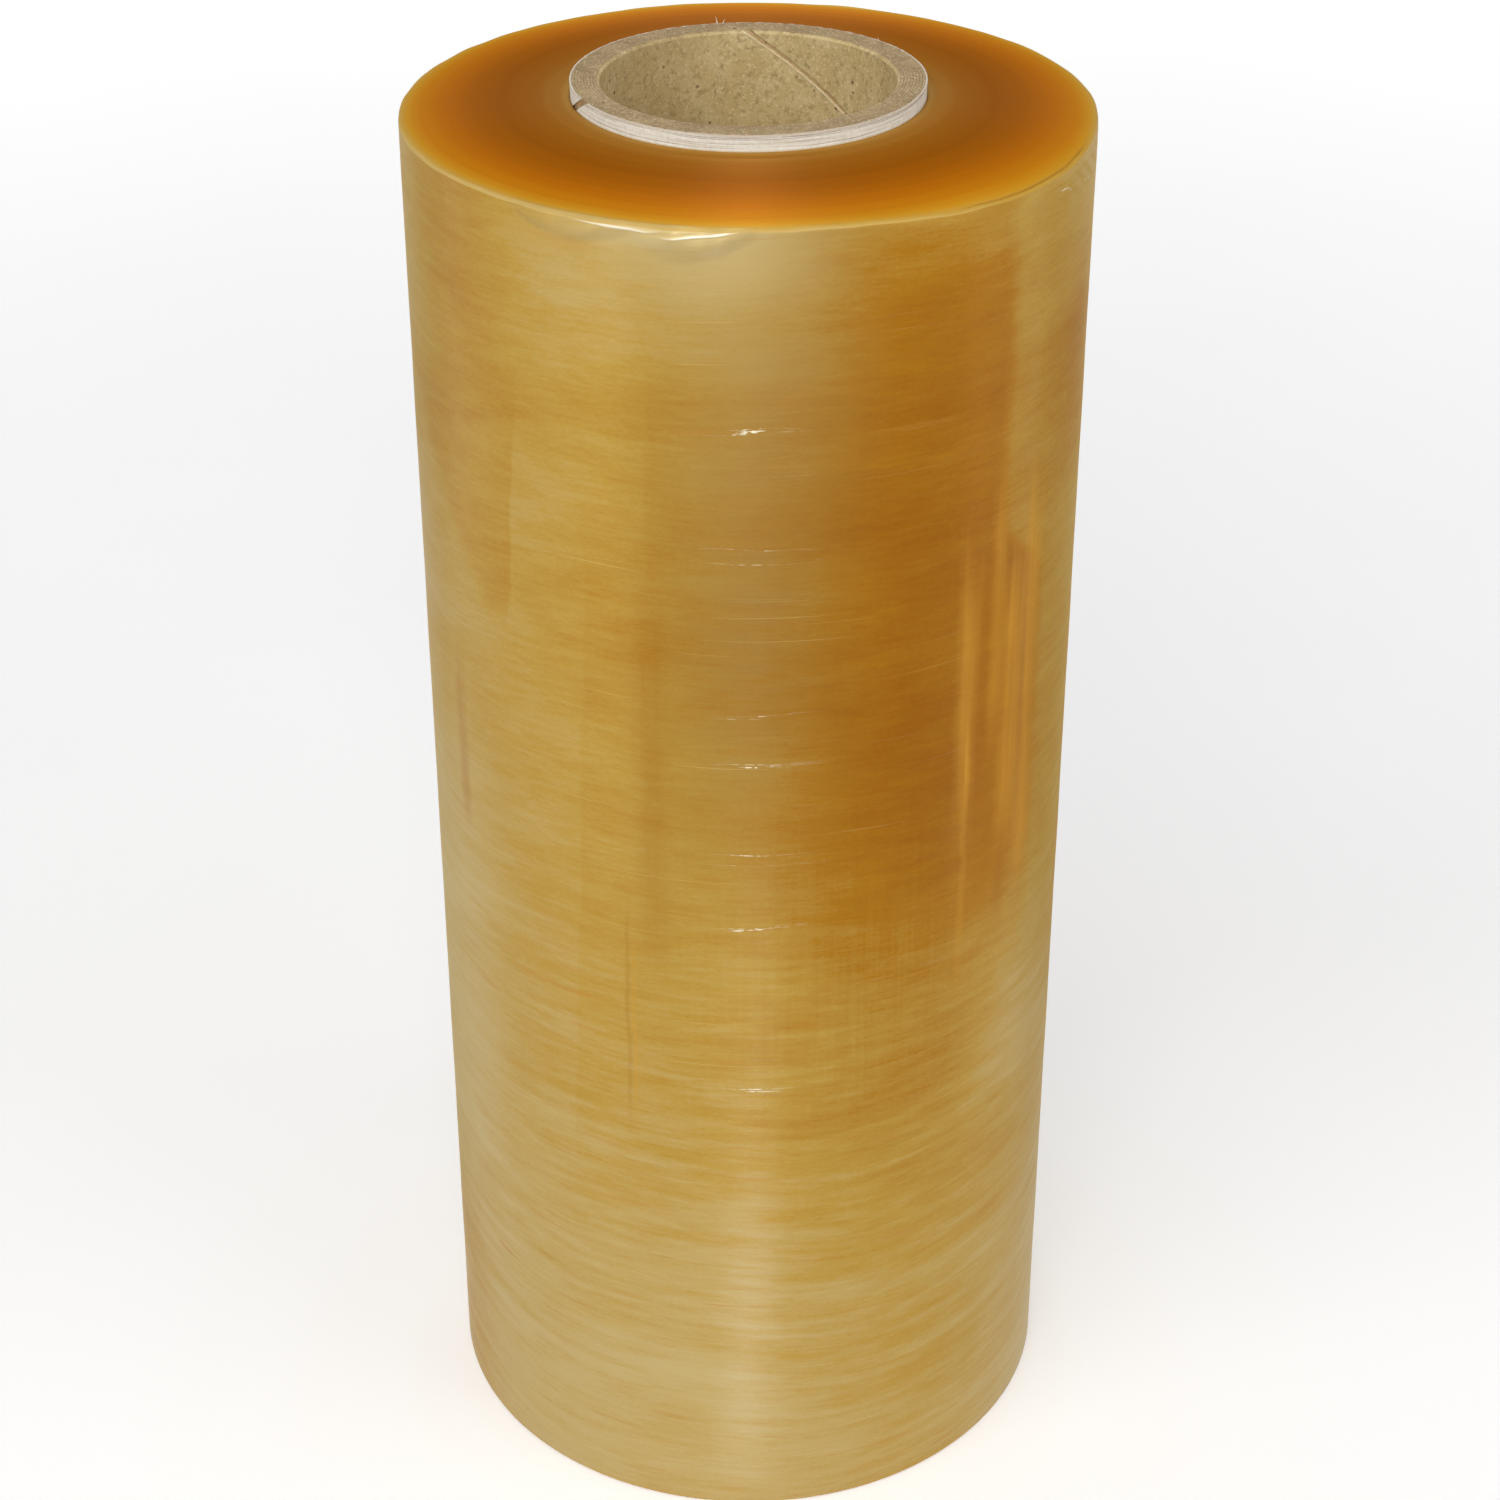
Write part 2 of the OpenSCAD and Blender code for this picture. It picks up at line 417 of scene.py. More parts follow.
def paper_paint():
    """White paper, faintly fibrous, with fine grey-brown lines where the knife has scored it, a
    tan band along the top edge and a warm yellow band at the foot where it meets the film."""
    paint = Paint("white_paper")
    grain = paint.noise(paint.place, scale=900, detail=2)
    along = paint.noise(paint.scaled(40, 40, 1800), detail=2)
    broken = paint.noise(paint.scaled(32, 32, 260), detail=2)
    ground = paint.mix(linear((234, 232, 220)), linear((246, 245, 236)), grain.step(0.3, 0.7))
    depth = CORE_TOP - paint.z
    wander = (paint.noise(paint.scaled(26, 26, 0), detail=2) - 0.5) * (0.45 * MM)
    lines = 0.0
    for below, half, _ in SCORES:
        lines = (depth + wander).hump(below, half) + lines
    lines = lines.least(1.0) * broken.step(0.40, 0.56)
    ground = paint.mix(ground, linear((196, 184, 160)), along.step(0.52, 0.70) * 0.55)
    ground = paint.mix(ground, linear((128, 112, 88)), lines * 0.8)
    ground = paint.mix(ground, linear((206, 184, 150)), depth.step(0.05 * MM, 0.35 * MM, 0.7, 0.0))
    by_film = depth.step(CORE_PROUD - 0.5 * MM, CORE_PROUD, 0.0, 0.6)
    ground = paint.mix(ground, linear((224, 196, 140)), by_film)
    paint.raise_by(grain * 0.2 - lines, 0.15 * MM, 0.5)
    return paint.finish(Base_Color=ground, Roughness=0.8, Specular_IOR_Level=0.3)


def paper_strip():
    """A thin shell on columns that lean with the spiral: radius of the board or of the paper's outside,
    less a groove at each score, from one edge of the gap round to the other."""
    gap_half = half_angle(GAP_WIDTH, BOARD_R)
    offsets = np.linspace(gap_half, 2 * np.pi - gap_half, STRIP_COLUMNS)
    hidden = np.linspace(strip_low[2], CORE_TOP - SHOWS_BELOW_TOP, HIDDEN_ROWS)[:-1]
    outside = np.concatenate([hidden, np.linspace(CORE_TOP - SHOWS_BELOW_TOP, CORE_TOP, SHOWN_ROWS)])
    height = np.concatenate([outside, outside[::-1]])
    turn = GAP_AT_TOP + offsets[None, :] + (height[:, None] - CORE_TOP) / climb(BOARD_R)
    out = np.concatenate([np.ones(len(outside)), np.zeros(len(outside))])
    depth = CORE_TOP - height
    radius = np.where(out > 0, STRIP_R, BOARD_R)[:, None] + np.zeros_like(turn)
    for below, half, seed in SCORES:
        line = below + 0.12 * MM * waves(turn, seed, 6, 2, 9)
        cut = 0.5 + 0.5 * np.clip(waves(turn, seed + 20, 8, 3, 30), -1, 1)
        radius = radius - SCORE_DEPTH * out[:, None] * cut * bump_shape(depth[:, None], line, 1.8 * half)
    top = (depth < 0.25 * MM)[:, None] * out[:, None]
    fray = FRAY * waves(turn, 31, 24, 8, 110)
    radius = radius + top * (0.05 * MM + 0.8 * np.abs(fray))
    tall = height[:, None] + (depth < 0.05 * MM)[:, None] * (fray - 0.1 * MM)
    return lay_grid("paper_strip", turn_profile(radius, tall, turn), around=False)


def paper_fibres():
    """Slivers of paper that the knife raised on the rim: each a thin blade from the rim to its tip."""
    corners, faces = [], []
    for direction, rise, lean in SLIVERS:
        a = np.radians(direction)
        out = np.array([np.cos(a), np.sin(a), 0])
        side = np.array([-np.sin(a), np.cos(a), 0])
        foot = STRIP_R * out + np.array([0, 0, CORE_TOP - 0.4 * MM])
        tip = foot + (rise + 0.4) * MM * np.array([0, 0, 1]) + lean * MM * side + 0.2 * MM * out
        k = len(corners)
        corners += [foot - 0.25 * MM * side, foot + 0.25 * MM * side, foot - 0.1 * MM * out, tip]
        faces += [(k, k + 3, k + 2), (k + 1, k + 2, k + 3), (k, k + 1, k + 3), (k, k + 2, k + 1)]
    mesh = bpy.data.meshes.new("paper_fibres")
    mesh.from_pydata([tuple(c) for c in corners], [], faces)
    return put_in_scene("paper_fibres", mesh)


white_paper = paper_paint()
strip = paper_strip()
strip.data.set_sharp_from_angle(angle=np.radians(45))
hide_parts("core_facing")
fibres = paper_fibres()
for piece in (strip, fibres):
    piece.data.materials.append(white_paper)
    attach(piece, "root")


# Wound film
# Some thousand and a half metres of thin film wound tight on the core, seen as one body. The ends
# show the edges of the turns as fine rings and low bands. Round the side, air between the turns
# makes pale hazy streaks, and where the turns have pulled together the amber shows through.
FILM_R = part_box("film_roll")[1][0]
FILM_WIDTH = 400 * MM
FIRST_R = STRIP_R + 0.15 * MM
DRIFT = 3.2 * MM
DRIFT_CURVE = 1.7
RIM_R = 1.2 * MM
BANDS = 14
BAND_RIDGE = 0.3 * MM
SLUMP = 2.1 * MM
LIP = 1.5 * MM
LIP_FROM, LIP_TO = np.radians(-134), np.radians(-88)
# Folds of the loose lip: direction and half width in degrees, the depth of its fullest part and its reach
LOOSE_FOLDS = ((-118, 12, 2.6 * MM, 5 * MM), (-99.5, 11, 3.4 * MM, 6 * MM))
NEAR_RIM = 17 * MM
AT_RIM = 7 * MM
# Columns of the mesh in the loose lip and round the rest, and rows across an end, round each bend and up
# the side, which are closer together towards the top rim
LOOSE_COLUMNS, FILM_COLUMNS = 130, 312
END_ROWS, BEND_ROWS, SIDE_ROWS, NEAR_ROWS, RIM_ROWS = 60, 6, 50, 16, 40
# Creases near the top rim: the direction in degrees and the depth below the rim in mm along each,
# then its half width and how far it stands out, in mm
CREASES = (
    (((-126, 0.2), (-119, 0.4)), 0.30, 0.12),
    (((-120, 0.6), (-113, 0.9), (-109, 1.4), (-105.7, 1.6), (-101.5, 0.9)), 0.62, 0.30),
    (((-118, 0.2), (-111, 0.4), (-106, 0.5), (-99, 0.3), (-91, 0.3)), 0.32, 0.15),
    (((-105, 2.4), (-101, 2.4), (-96, 1.6), (-92, 0.7), (-89, 0.6)), 0.55, 0.22),
    (((-34, 0.2), (-30, 0.4), (-26, 0.6)), 0.45, 0.20),
    (((-32, 5.2), (-29, 5.4), (-26, 8.2)), 0.50, 0.16),
    (((-22, 8.0), (-16, 9.4)), 0.45, 0.14))


def on_creases(turn, below):
    """How fully each point lies on a crease, from 0 to 1, and how far the crease bumps together push it out:
    the squared cosine hump across each crease, whose middle lies at the depth interpolated along its path."""
    fullness, push = np.zeros_like(turn + below), np.zeros_like(turn + below)
    for path, half, stand in CREASES:
        along, depth = np.array(path).T
        along = np.radians(along)
        middle = np.interp(turn, along, depth) * MM
        taper = bump_shape(turn, (along[0] + along[-1]) / 2, (along[-1] - along[0]) / 2) ** 0.4
        here = taper * bump_shape(below, middle, half * MM)
        fullness = np.maximum(fullness, here)
        push = push + here * stand * MM
    return fullness, push


def end_lift(share, turn):
    """Lift of the turns at a share of the way out: drift * (1 - share ^ curve), with a low band
    for each group of turns and fainter, closer rings."""
    place = share * BANDS
    bands = 0.5 - 0.5 * np.cos(2 * np.pi * (place + 0.3 * np.sin(2.4 * place)))
    rings = np.sin(2 * np.pi * share * 61) + np.sin(2 * np.pi * share * 89 + 1)
    fade = np.clip((1 - share) * 12, 0, 1)
    return (DRIFT * (1 - share ** DRIFT_CURVE) + fade * (BAND_RIDGE * bands * 0.6 + 0.02 * MM * rings)) \
        * np.ones_like(turn)


def film_turns():
    """Section of the film carried round the axis. Near the top rim the turns have slumped at the right,
    and the outermost turns have come loose and crumpled at the left of the front."""
    loose = np.linspace(LIP_FROM, LIP_TO, LOOSE_COLUMNS)
    turn = np.concatenate([loose, np.linspace(LIP_TO, LIP_FROM + 2 * np.pi, FILM_COLUMNS)[1:-1]])[None, :]
    share = np.linspace(0, 1, END_ROWS)
    inside = FIRST_R + share * (FILM_R - RIM_R - FIRST_R)
    arc = np.linspace(0, np.pi / 2, BEND_ROWS)[1:]
    side = np.concatenate([np.linspace(RIM_R, FILM_WIDTH - NEAR_RIM, SIDE_ROWS)[1:],
                           np.linspace(FILM_WIDTH - NEAR_RIM, FILM_WIDTH - AT_RIM, NEAR_ROWS)[1:],
                           np.linspace(FILM_WIDTH - AT_RIM, FILM_WIDTH - RIM_R, RIM_ROWS)[1:]])
    foot_share = share[::3]
    foot_r = FIRST_R + foot_share * (FILM_R - RIM_R - FIRST_R)
    bend_r = FILM_R - RIM_R + RIM_R * np.sin(arc)
    bend_z = RIM_R * (1 - np.cos(arc))
    radius = np.concatenate([[FIRST_R, FIRST_R], foot_r, bend_r, np.full(len(side), FILM_R),
                             bend_r[::-1][1:], inside[::-1]])[:, None]
    flat = np.concatenate([[FILM_WIDTH * 0.6, FILM_WIDTH * 0.3], np.zeros(len(foot_r)), bend_z, side,
                           (FILM_WIDTH - bend_z)[::-1][1:], np.full(END_ROWS, FILM_WIDTH)])[:, None]
    outside = len(arc) + len(side) + len(arc) - 1
    ends = np.concatenate([[0, 0], foot_share, np.ones(outside), share[::-1]])[:, None]
    is_end = np.concatenate([[0, 0], np.ones(len(foot_r)), np.zeros(outside), np.ones(END_ROWS)])[:, None]
    height = flat + is_end * end_lift(ends, turn)

    below = np.clip(FILM_WIDTH - flat, 0, None)
    front = (turn + np.pi) % (2 * np.pi) - np.pi
    top_end = is_end * (flat > FILM_WIDTH / 2)
    on_end, on_wall = np.clip((ends - 0.86) / 0.14, 0, 1) ** 2, np.clip(1 - below / (14 * MM), 0, 1)
    by_rim = np.where(top_end > 0, on_end, on_wall)
    by_rim = np.where((is_end > 0) & (top_end == 0), 0, by_rim) * (flat > FILM_WIDTH / 2)
    sag = SLUMP * (bump_shape(front, np.radians(-38), np.radians(34)) ** 0.7
                   + 0.22 * bump_shape(front, np.radians(-6), np.radians(10)))
    ragged = 0.10 * MM * waves(front, 12, 16, 3, 40)
    height = height - by_rim * (sag - ragged * (top_end == 0))
    radius = radius - by_rim * 0.35 * sag * (top_end == 0) * np.clip(1 - below / (3 * MM), 0, 1)

    on_side = (is_end == 0) * (flat > FILM_WIDTH / 2)
    around = front * FILM_R
    ruffle = 1 + 0.22 * np.sin(around / (2.6 * MM) + below / (1.9 * MM)) + 0.15 * waves(front, 8, 6, 20, 90)
    for middle, half, deepest, reach in LOOSE_FOLDS:
        along = bump_shape(front, np.radians(middle), np.radians(half)) ** 0.6
        billow = bump_shape(below, deepest * (0.4 + 0.6 * along), reach * (0.35 + 0.65 * along))
        radius = radius + on_side * along * LIP * billow * ruffle
        height = height + on_side * along * 0.35 * MM * bump_shape(below, 0, 2 * MM) * ruffle

    in_folds = bump_shape(front, np.radians(-20), np.radians(19)) * bump_shape(below, 7 * MM, 7 * MM)
    folds = np.sin(2 * np.pi * (around / (7.5 * MM) - below / (5.2 * MM)) + 0.8 * np.sin(around / (5 * MM)))
    radius = radius + on_side * in_folds * 0.16 * MM * folds
    swell = 0.05 * MM * np.sin(flat / (7 * MM) + 1.2 * np.sin(front * 2))
    swell = swell * np.sin(flat / (23 * MM) + 2 * np.sin(front))
    fade = np.clip(below / (10 * MM), 0, 1) * np.clip(flat / (10 * MM), 0, 1)
    radius = radius + (is_end == 0) * (radius > FILM_R * 0.9) * swell * fade
    fullness, push = on_creases(front, below)
    radius = radius + on_side * push
    past_middle = np.abs(flat[:, 0] - FILM_WIDTH / 2)
    slots = np.where((is_end[:, 0] > 0) | (past_middle > FILM_WIDTH / 2 - 0.9 * RIM_R), 1, 0)
    piece = lay_grid("film", turn_profile(radius, height + 0 * turn, turn + 0 * radius), slots=slots)
    crease = piece.data.attributes.new("crease", "FLOAT", "POINT")
    crease.data.foreach_set("value", (fullness * on_side).ravel())
    return piece


# Painted reflections, as upright bars brighter and darker than the film round them:
# direction and half width in degrees, lowest and highest point, and how strong
REFLECTED_BARS = ((-50.8, 3.4, 0.215, 0.285, 0.75),
        (-50.4, 1.3, 0.160, 0.245, 0.4),
        (-44.2, 2.6, 0.235, 0.300, 0.6),
        (-39.8, 4.4, 0.200, 0.280, 0.85),
        (-34.2, 4.6, 0.185, 0.295, 0.85),
        (-110.0, 0.5, 0.125, 0.185, 0.45))
REFLECTED_DARK_BARS = ((-47.0, 1.2, 0.215, 0.290, 0.4),
             (-40.6, 2.6, 0.180, 0.205, 0.6),
             (-36.4, 0.9, 0.220, 0.270, 0.25),
             (-111.2, 0.7, 0.130, 0.195, 0.35),
             (-106.0, 4.5, 0.185, 0.285, 0.35),
             (-149.4, 2.8, 0.205, 0.245, 0.55))
# Heights of the rows of short crease bumps at the front, which carry painted glints
GLINT_ROWS = (0.3483, 0.3160, 0.3125, 0.2686, 0.2539, 0.2272, 0.2240, 0.2043, 0.1523)


def side_paint():
    """Side of the roll: amber where the turns have pulled together, khaki where air lies between them,
    with soft clouds and ripples, painted reflections as upright bars and edges of panels, painted sheen at
    the top front, threads of light that run round it, and rows of short crease bumps with painted glints at
    the front, and a paler loose lip with painted highlights on its sharp folds. Directions are in degrees
    from +X."""
    paint = Paint("film_side")
    around = paint.y.angle_from(paint.x) * (180 / np.pi)
    z = paint.z
    sway = (paint.noise(paint.scaled(7, 7, 5), detail=1) - 0.5) * 0.016
    cloud = paint.noise(paint.scaled(13, 13, 42, sway), detail=3)
    mottle = paint.noise(paint.scaled(60, 60, 230, sway), detail=3, roughness=0.6)
    ripple = paint.noise(paint.scaled(95, 95, 950, sway), detail=3, roughness=0.6)
    streak = paint.noise(paint.scaled(24, 24, 300, sway * 1.6), detail=3, roughness=0.6)
    grain = paint.noise(paint.scaled(700, 700, 1700), detail=2)
    thread = paint.noise(paint.scaled(15, 15, 2300, sway), detail=1)
    dash = paint.noise(paint.scaled(34, 34, 620, sway), detail=2)
    patch = paint.noise(paint.scaled(20, 20, 55, sway), detail=2)
    upright = paint.noise(paint.point(around * 0.9, z * 22), detail=2)
    strayed = around + (paint.noise(paint.point(z * 26, 3.0), detail=2) - 0.5) * 2.4 + (mottle - 0.5) * 1.2
    reflection_top = z + (paint.noise(paint.point(around * 0.35, 7.0), detail=2) - 0.5) * 0.05

    edge = strayed + z.step(0.288, 0.312) * 12
    # The amber at the front right is partly the turns pulled together and partly a painted reflection of
    # darker surroundings.
    pulled = around.step(-96, -60) * z.step(0.15, 0.25) * z.step(0.362, 0.43, 1.0, 0.0) \
        * (edge.step(-34, -29, 0.62, 0.0) + around.step(-40, -12, 0.38, 0.0))
    pulled_front = around.hump(-84, 58) * z.step(0.17, 0.25)
    pulled_low = around.hump(-56, 46) * z.step(0.14, 0.26, 1.0, 0.0)
    wedge = (strayed - z * 60).step(-151.3, -150.3, 1.0, 0.0) * (around + z * 500).step(0.5, 7.5) \
        * z.step(0.278, 0.292) * z.step(0.325, 0.362, 1.0, 0.0)
    # Painted reflection: the upright edges of pale panels mirrored in the film, a little more amber past each
    # edge.
    reflected_panel = (strayed - z * 30).step(-126.8, -125.9) * z.step(0.10, 0.14) * z.step(0.29, 0.33, 1.0, 0.0)
    reflected_panel = reflected_panel + strayed.step(-107, -105.6) * z.step(0.28, 0.31) * z.step(0.352, 0.372, 1.0, 0.0)
    loose_top = z.step(0.345, 0.398) * around.hump(-98, 42)
    loose_left = around.hump(-158, 26) * z.step(0.085, 0.110) * z.step(0.20, 0.27, 1.0, 0.0)
    pulled_edge = around.hump(-18, 20) * z.hump(0.345, 0.06)
    pulled_back = around.hump(72, 44) * z.hump(0.235, 0.16) + around.hump(138, 26) * z.hump(0.15, 0.15) * 0.7
    pulled_foot = around.hump(-164, 22) * z.step(0.03, 0.10, 1.6, 0.0)
    pulled_top = around.hump(-143, 24) * z.step(0.335, 0.352)
    low = z.step(0.14, 0.25, 1.0, 0.0)
    haze = 0.68 - pulled * 0.45 - pulled_front * 0.14 - pulled_low * 0.20
    haze = haze - wedge * 0.13 - reflected_panel * 0.05 - pulled_edge * 0.30
    haze = haze - pulled_back * 0.36 - (pulled_foot + pulled_top) * 0.22
    haze = haze + around.hump(-33, 24) * z.hump(0.16, 0.06) * 0.26
    # The last term makes the film paler towards the foot: a painted reflection of the pale floor.
    haze = haze + loose_top * 0.22 + loose_left * 0.25 + z.step(0.0, 0.18, 0.26, 0.0)
    haze = haze + (cloud - 0.5) * 0.42 + (mottle - 0.5) * 0.27 + (ripple - 0.5) * 0.26 + (grain - 0.5) * 0.20
    haze = haze + (streak - 0.5) * (low * 0.33 + 0.12)
    haze = haze + (upright - 0.5) * (around.hump(-70, 45) * z.hump(0.19, 0.08) + pulled_back) * 0.22
    colour = paint.ramp(haze, ((0.0, linear((158, 96, 0))), (0.3, linear((174, 118, 14))),
                               (0.62, linear((188, 150, 62))), (1.0, linear((199, 174, 114)))))
    # A painted sheen at the top front: greyish khaki lower down, and paler just under the rim.
    top_front_sheen = z.step(0.29, 0.37) * around.hump(-88, 24)
    colour = paint.mix(colour, linear((170, 144, 88)), top_front_sheen * (cloud * 0.5 + 0.12))
    colour = paint.mix(colour, linear((208, 188, 138)), z.step(0.374, 0.392) * around.hump(-94, 24) * 0.42)
    shade = around.hump(-90, 24) * z.hump(0.295, 0.12) * (mottle * 0.5 + 0.25)
    colour = paint.mix(colour, linear((146, 110, 54)), shade)
    colour = paint.mix(colour, linear((206, 184, 130)), streak.step(0.58, 0.80) * low * 0.20)
    dashes = dash.step(0.60, 0.74) * (patch.step(0.50, 0.68) + low)
    colour = paint.mix(colour, linear((192, 136, 58)), dashes * 0.3)
    # Painted reflections of bright and dark things, as upright bars mixed into the film's colour.
    reflected_light, dark = 0.0, 0.0
    for middle, half, foot, head, share in REFLECTED_BARS:
        upper = reflection_top.step(head, head + 0.03, share, 0.0)
        reflected_light = strayed.hump(middle, half) * z.step(foot, foot + 0.03) * upper + reflected_light
    for middle, half, foot, head, share in REFLECTED_DARK_BARS:
        upper = reflection_top.step(head, head + 0.03, share, 0.0)
        dark = strayed.hump(middle, half) * z.step(foot, foot + 0.02) * upper + dark
    colour = paint.mix(colour, linear((208, 150, 44)), (reflected_light * (upright * 0.9 + 0.25)).least(1.0))
    colour = paint.mix(colour, linear((164, 104, 14)), (dark * (upright + 0.2)).least(1.0))
    threads = thread.step(0.70, 0.80) * patch.step(0.40, 0.60, 1.0, 0.05)
    colour = paint.mix(colour, linear((226, 194, 112)), threads * 0.30)
    # Painted glints on the crease rows at the front, strongest near direction -89.6 degrees with faint tails
    # round it; the rows also carry bumps and gloss.
    rows = 0.0
    for row in GLINT_ROWS:
        rows = (z + sway * 0.3 + (dash - 0.5) * 0.006).hump(row, 0.28 * MM) + rows
    sparks = paint.noise(paint.scaled(640, 640, 2400), detail=1)
    bright = around.hump(-89.6, 4.5) * sparks.step(0.45, 0.63) * 0.9
    faint = around.hump(-88, 14) * sparks.step(0.3, 0.6) * 0.22
    crease_glints = (rows.least(1.0) * (bright + faint)).least(1.0)
    colour = paint.mix(colour, linear((250, 242, 206)), crease_glints)
    sharp = paint.node("ShaderNodeAttribute", {"attribute_name": "crease"}, {}, output="Fac")
    # The loose lip is paler, partly from air under the loose turn and partly as a painted highlight.
    in_lip = around.hump(-108, 22) * z.step(0.392, 0.3965)
    colour = paint.mix(colour, linear((204, 184, 128)), in_lip * 0.5)
    # Painted highlight along the sharp folds of the lip.
    colour = paint.mix(colour, linear((252, 244, 222)), sharp.step(0.25, 0.9) * (mottle * 0.5 + 0.45))
    gloss = (thread.step(0.50, 0.68) * 0.20 + 0.05).most(in_lip * 0.6).most(sharp).most(crease_glints * 0.5)
    paint.raise_by(mottle * 0.5 + ripple * 0.25 + threads * 0.4 + crease_glints * 0.6 + grain * 0.10, 0.3 * MM, 0.4)
    return paint.finish(Base_Color=colour, Metallic=0.26, Roughness=0.40, Coat_Weight=gloss,
                        Coat_Roughness=0.06, Specular_IOR_Level=0.14, Anisotropic=0.85,
                        Anisotropic_Rotation=0.25)


def end_paint():
    """Ends of the turns: rings of amber by distance from the core, deepest two fifths of the way out and
    palest at the rim, with hair-fine rings."""
    paint = Paint("film_end")
    radius = (paint.x * paint.x + paint.y * paint.y).root()
    share = (radius - FIRST_R) / (FILM_R - FIRST_R)
    rings = paint.noise(paint.point(radius * 4200), detail=2)
    slow = paint.noise(paint.point(radius * 420), detail=2)
    cloudy = paint.noise(paint.place, scale=22, detail=2)
    place = share + (slow - 0.5) * 0.03 + (cloudy - 0.5) * 0.06
    # The ramp is pale next to the core: a painted reflection of the white paper strip.
    colour = paint.ramp(place, (
        (0.0, linear((184, 140, 70))), (0.06, linear((170, 116, 44))), (0.20, linear((158, 96, 20))),
        (0.40, linear((154, 86, 6))), (0.58, linear((168, 94, 6))), (0.74, linear((188, 108, 8))),
        (0.88, linear((200, 126, 16))), (0.945, linear((206, 146, 34))), (0.985, linear((202, 160, 72))),
        (1.0, linear((206, 174, 104)))))
    colour = paint.mix(colour, linear((216, 150, 50)), rings.step(0.5, 0.8) * 0.12)
    dust = paint.specks(paint.place, 160, 0.035) * paint.noise(paint.place, scale=60).step(0.56, 0.66)
    colour = paint.mix(colour, linear((230, 200, 150)), dust * 0.8)
    paint.raise_by(rings * 0.5 + slow * 0.5, 0.05 * MM, 0.4)
    return paint.finish(Base_Color=colour, Metallic=0.07, Roughness=0.45, Specular_IOR_Level=0.0,
                        Anisotropic=0.95, Anisotropic_Rotation=0.25)


film = film_turns()
film.data.materials.append(side_paint())
film.data.materials.append(end_paint())
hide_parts("film_roll")
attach(film, "root")


# Floor and light
# A plain pale floor, soft lights at the left, in front and at the right, and an even world. Two small
# lights and some cards on the floor are there only to be mirrored in the gloss of the film.
FLOOR_SIZE = 40.0
WORLD_LIGHT = 0.46
MIDDLE = (0, 0, 0.22)
TOP_END = (0, 0, 0.4)


def floor_paint():
    """Pale floor, brighter to the camera, and more so far out, so that it meets a white background."""
    paint = Paint("floor")
    away = (paint.x * paint.x + paint.y * paint.y).root()
    tone = paint.noise(paint.place, scale=6)
    colour = paint.mix(linear((240, 240, 239)), linear((244, 244, 243)), tone)
    glow = paint.mix((0.27, 0.27, 0.28, 1), (0.64, 0.64, 0.64, 1), away.step(0.3, 2.2))
    seen = paint.mix((0, 0, 0, 1), glow, paint.background_rays())
    return paint.finish(Base_Color=colour, Roughness=0.9, Specular_IOR_Level=0.1, Emission_Color=seen,
                        Emission_Strength=1.0)


def area_light(name, place, aim, size, power, colour=(1, 1, 1), mirrored_only=False):
    """A square soft light at place that faces the point aim."""
    lamp = bpy.data.lights.new(name, "AREA")
    lamp.size, lamp.energy, lamp.color = size, power, colour
    holder = put_in_scene(name, lamp)
    toward = np.array(aim, dtype=float) - np.array(place, dtype=float)
    across = np.hypot(toward[0], toward[1])
    holder.location = place
    holder.rotation_euler = (np.pi / 2 + np.arctan2(toward[2], across), 0, np.arctan2(-toward[0], toward[1]))
    if mirrored_only:
        holder.visible_diffuse = False
        holder.visible_camera = False


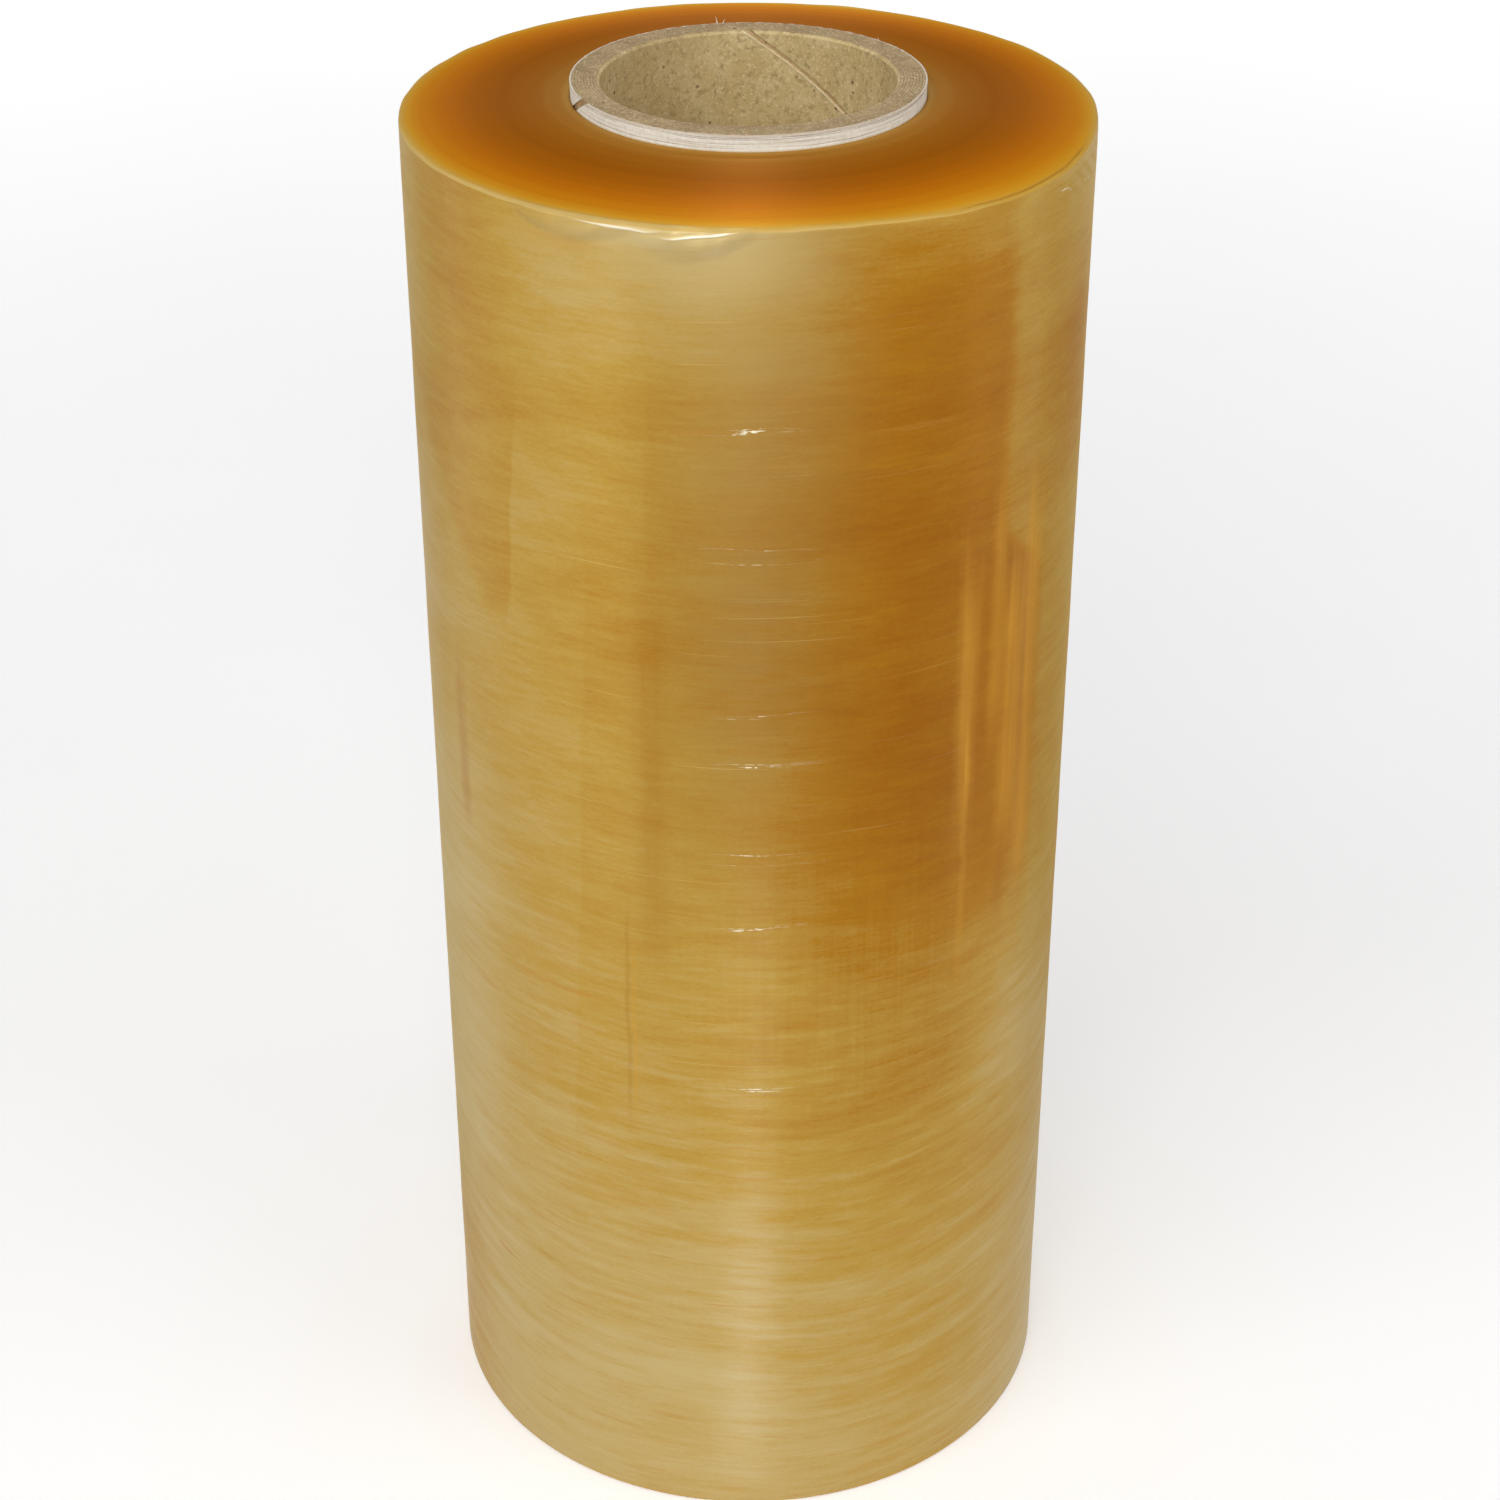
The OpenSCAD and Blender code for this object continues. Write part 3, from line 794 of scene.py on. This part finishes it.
def mirror_card(name, near_turn, far_turn, reach, strength, colour=(1, 1, 1, 1), soft=3, lift=0.5 * MM):
    """A card on the floor that only the film's gloss sees. A point of the side in direction t mirrors what
    lies in direction 2 t + 90 degrees from it, as seen by the camera, so the card runs out along that.
    It is clear at its border, and full from soft degrees and a sixth of its reach further in."""
    full = np.array([0.0, 1.0, 1.0, 0.0])
    t = np.radians([near_turn, near_turn + soft, far_turn - soft, far_turn])[:, None]
    near, far = reach
    distance = np.array([near, near + (far - near) / 6, far - (far - near) / 6, far])[None, :]
    mirrored = 2 * t + np.pi / 2
    points = np.stack([FILM_R * np.cos(t) + distance * np.cos(mirrored),
                       FILM_R * np.sin(t) + distance * np.sin(mirrored), lift + 0 * t * distance], axis=-1)
    i, j = np.meshgrid(np.arange(3), np.arange(3), indexing="ij")
    corner = (4 * i + j).reshape(-1, 1)
    mesh = bpy.data.meshes.new(name)
    mesh.from_pydata(points.reshape(-1, 3), [], corner + np.array([[0, 1, 5, 4]]))
    mesh.attributes.new("full", "FLOAT", "POINT").data.foreach_set("value", np.outer(full, full).ravel())
    card = put_in_scene(name, mesh)
    paint = Paint(name)
    solid = paint.node("ShaderNodeAttribute", {"attribute_name": "full"}, {}, output="Fac")
    mesh.materials.append(paint.finish(Base_Color=(0, 0, 0, 1), Roughness=1.0, Emission_Color=colour,
                                       Emission_Strength=strength, Alpha=solid))
    card.visible_camera = False
    card.visible_diffuse = False
    card.visible_shadow = False
    card.visible_transmission = False


mesh = bpy.data.meshes.new("floor")
half = FLOOR_SIZE / 2
mesh.from_pydata([(-half, -half, 0), (half, -half, 0), (half, half, 0), (-half, half, 0)], [], [(0, 1, 2, 3)])
mesh.materials.append(floor_paint())
put_in_scene("floor", mesh)

area_light("key_light", (-1.3, -1.3, 1.9), MIDDLE, 1.3, 11.6)
area_light("front_light", (-0.2, -1.6, 1.3), MIDDLE, 0.9, 11.4)
area_light("fill_light", (1.6, -0.9, 1.4), MIDDLE, 1.4, 7.2)
area_light("gleam", (0.0, -0.5, 2.2), TOP_END, 0.10, 8, (1, 1, 1.2), mirrored_only=True)
area_light("back_gleam", (0.0, 1.6, 1.8), TOP_END, 0.15, 14, (1, 1.25, 1.9), mirrored_only=True)
mirror_card("ground", -181, 1, (0.003, 3.0), 0.74, soft=1, lift=0.2 * MM)
mirror_card("left_panel", -134, -109, (0.17, 0.70), 1.05)
mirror_card("front_dark", -112, -80, (0.24, 1.60), 0.25)
mirror_card("front_strip", -97, -83, (0.004, 0.36), 2.2, (0.85, 1.0, 1.65, 1), soft=6.5)
mirror_card("right_bar", -48, -33, (0.27, 0.60), 1.0, (1.0, 0.62, 0.2, 1))
mirror_card("right_dark", -82, -50, (0.22, 1.2), 0.3)
mirror_card("far_right", -35, -2, (0.02, 2.0), 0.5, (1.0, 0.76, 0.34, 1))
mirror_card("far_left", -178, -148, (0.55, 2.0), 0.42, (1.0, 0.84, 0.5, 1))
mirror_card("left_edge", -184, -152, (0.02, 0.60), 0.68, (1.0, 0.92, 0.66, 1), soft=6)

world = bpy.data.worlds.new("world")
bpy.context.scene.world = world
world.use_nodes = True
sky = Mixing(world.node_tree)
level = sky.background_rays().step(0.0, 1.0, WORLD_LIGHT, 1.0)
background = world.node_tree.nodes["Background"]
background.inputs["Color"].default_value = (1, 1, 1, 1)
world.node_tree.links.new(level.socket, background.inputs["Strength"])

bpy.context.scene.view_settings.view_transform = "Standard"
